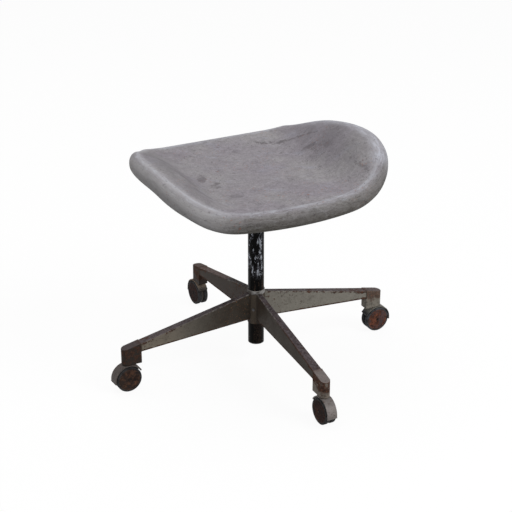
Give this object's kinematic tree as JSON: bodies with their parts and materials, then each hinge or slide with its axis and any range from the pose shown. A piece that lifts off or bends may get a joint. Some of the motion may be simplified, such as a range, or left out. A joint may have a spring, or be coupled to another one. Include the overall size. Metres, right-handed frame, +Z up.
{
  "type": "lab stool",
  "caption": "Height-adjustable swivel stool with a dished saddle seat on a screw column, a cross-shaped pressed base and twin-wheel swivel casters.",
  "frame": {"origin": "on the floor, on the column's axis", "axes": "+Z up along the column, -Y towards the seat's straight front edge, +X to the sitter's left as they face the front"},
  "size_m": [0.6407, 0.6408, 0.4753],
  "materials": {
    "seat_skin": "matte",
    "base_paint": "satin",
    "hub_paint": "satin",
    "socket_paint": "matte",
    "hood_metal": "satin",
    "wheel_rubber": "matte",
    "cover_rust": "matte",
    "bright_steel": "satin",
    "black_steel": "satin",
    "dark_plastic": "matte",
    "plywood": "matte"
  },
  "bodies": {
    "root": {"column_tube": "black_steel", "column_plug": "dark_plastic", "spindle_nut": "bright_steel", "thrust_washer": "bright_steel", "hub_sleeve": "hub_paint", "hub_screw": "bright_steel", "stem_sleeves": "dark_plastic", "leg_right": "base_paint", "caster_socket_right": "socket_paint", "leg_rear": "base_paint", "caster_socket_rear": "socket_paint", "leg_left": "base_paint", "caster_socket_left": "socket_paint", "leg_front": "base_paint", "caster_socket_front": "socket_paint"},
    "guide": {"lower_guide": "dark_plastic"},
    "seat": {"seat_cushion": "seat_skin", "seat_board": "plywood", "board_inserts": "bright_steel", "seat_plate": "black_steel", "seat_screws": "bright_steel", "spindle_boss": "black_steel", "spindle_pin": "bright_steel", "spindle": "bright_steel", "guide_screw": "bright_steel"},
    "caster_right": {"caster_hood_right": "hood_metal", "caster_stem_right": "bright_steel", "caster_axle_right": "bright_steel"},
    "roller_right_a": {"wheel_right_a": "wheel_rubber", "wheel_cover_right_a": "cover_rust"},
    "roller_right_b": {"wheel_right_b": "wheel_rubber", "wheel_cover_right_b": "cover_rust"},
    "caster_rear": {"caster_hood_rear": "hood_metal", "caster_stem_rear": "bright_steel", "caster_axle_rear": "bright_steel"},
    "roller_rear_a": {"wheel_rear_a": "wheel_rubber", "wheel_cover_rear_a": "cover_rust"},
    "roller_rear_b": {"wheel_rear_b": "wheel_rubber", "wheel_cover_rear_b": "cover_rust"},
    "caster_left": {"caster_hood_left": "hood_metal", "caster_stem_left": "bright_steel", "caster_axle_left": "bright_steel"},
    "roller_left_a": {"wheel_left_a": "wheel_rubber", "wheel_cover_left_a": "cover_rust"},
    "roller_left_b": {"wheel_left_b": "wheel_rubber", "wheel_cover_left_b": "cover_rust"},
    "caster_front": {"caster_hood_front": "hood_metal", "caster_stem_front": "bright_steel", "caster_axle_front": "bright_steel"},
    "roller_front_a": {"wheel_front_a": "wheel_rubber", "wheel_cover_front_a": "cover_rust"},
    "roller_front_b": {"wheel_front_b": "wheel_rubber", "wheel_cover_front_b": "cover_rust"}
  },
  "joints": [
    {"name": "seat_lift", "type": "slide", "parent": "root", "child": "guide", "axis": [0, 0, 1], "range_m": [0, 0.12]},
    {"name": "seat_turn", "type": "hinge", "parent": "guide", "child": "seat", "pos_m": [0, 0, 0.336], "axis": [0, 0, 1], "range_deg": [0, 5400]},
    {"name": "swivel_right", "type": "hinge", "parent": "root", "child": "caster_right", "pos_m": [0.28, 0, 0.0565], "axis": [0, 0, 1], "continuous": true},
    {"name": "roll_right_a", "type": "hinge", "parent": "caster_right", "child": "roller_right_a", "pos_m": [0.28879, 0.00043, 0.0268], "axis": [-0.0489, 0.9988, 0], "continuous": true},
    {"name": "roll_right_b", "type": "hinge", "parent": "caster_right", "child": "roller_right_b", "pos_m": [0.28879, 0.00043, 0.0268], "axis": [-0.0489, 0.9988, 0], "continuous": true},
    {"name": "swivel_rear", "type": "hinge", "parent": "root", "child": "caster_rear", "pos_m": [0, 0.28, 0.0565], "axis": [0, 0, 1], "continuous": true},
    {"name": "roll_rear_a", "type": "hinge", "parent": "caster_rear", "child": "roller_rear_a", "pos_m": [-0.00026, 0.2888, 0.0268], "axis": [-0.9996, -0.0297, 0], "continuous": true},
    {"name": "roll_rear_b", "type": "hinge", "parent": "caster_rear", "child": "roller_rear_b", "pos_m": [-0.00026, 0.2888, 0.0268], "axis": [-0.9996, -0.0297, 0], "continuous": true},
    {"name": "swivel_left", "type": "hinge", "parent": "root", "child": "caster_left", "pos_m": [-0.28, 0, 0.0565], "axis": [0, 0, 1], "continuous": true},
    {"name": "roll_left_a", "type": "hinge", "parent": "caster_left", "child": "roller_left_a", "pos_m": [-0.2888, -0.00015, 0.0268], "axis": [0.0175, -0.9998, 0], "continuous": true},
    {"name": "roll_left_b", "type": "hinge", "parent": "caster_left", "child": "roller_left_b", "pos_m": [-0.2888, -0.00015, 0.0268], "axis": [0.0175, -0.9998, 0], "continuous": true},
    {"name": "swivel_front", "type": "hinge", "parent": "root", "child": "caster_front", "pos_m": [0, -0.28, 0.0565], "axis": [0, 0, 1], "continuous": true},
    {"name": "roll_front_a", "type": "hinge", "parent": "caster_front", "child": "roller_front_a", "pos_m": [0.0004, -0.28879, 0.0268], "axis": [0.999, 0.0454, 0], "continuous": true},
    {"name": "roll_front_b", "type": "hinge", "parent": "caster_front", "child": "roller_front_b", "pos_m": [0.0004, -0.28879, 0.0268], "axis": [0.999, 0.0454, 0], "continuous": true}
  ],
  "couplings": [
    {"joint": "seat_lift", "follows": "seat_turn", "m_per_rad": 0.0012732}
  ]
}
